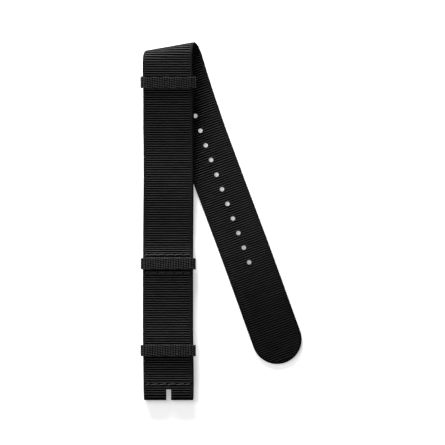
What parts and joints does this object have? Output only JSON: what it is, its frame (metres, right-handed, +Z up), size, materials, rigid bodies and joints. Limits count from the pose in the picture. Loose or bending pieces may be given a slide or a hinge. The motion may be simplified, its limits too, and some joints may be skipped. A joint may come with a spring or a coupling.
{
  "type": "watch strap",
  "caption": "Pull-through nylon watch strap without its buckle, lying folded: long holed band, sewn under band and tape keepers, one of which slides.",
  "frame": {"origin": "under the middle of the folded strap's box, on the table it lies on", "axes": "+Y along the front leg from the buckle end to the fold, +X to the side the tail lies on, +Z up from the table"},
  "size_m": [0.0648, 0.1446, 0.0098],
  "materials": {
    "ribbed_webbing": "ribbed black nylon webbing, soft sheen",
    "under_webbing": "ribbed black nylon webbing, matt",
    "keeper_tape": "twill-woven black nylon tape",
    "sewing_thread": "black bonded sewing thread"
  },
  "bodies": {
    "strap": {"long_band": "ribbed_webbing", "under_band": "under_webbing", "upper_keeper": "keeper_tape", "middle_keeper": "keeper_tape", "buckle_seam_needle_thread": "sewing_thread", "buckle_seam_bobbin_thread": "sewing_thread", "middle_keeper_lower_seam_needle_thread": "sewing_thread", "middle_keeper_lower_seam_bobbin_thread": "sewing_thread", "middle_keeper_upper_seam_needle_thread": "sewing_thread", "middle_keeper_upper_seam_bobbin_thread": "sewing_thread", "hem_seam_needle_thread": "sewing_thread", "hem_seam_bobbin_thread": "sewing_thread"},
    "lower_keeper": {"lower_keeper": "keeper_tape"}
  },
  "joints": [
    {"name": "lower_keeper_slide", "type": "slide", "parent": "strap", "child": "lower_keeper", "axis": [0, 1, 0], "range_m": [-0.007, 0.028]}
  ]
}
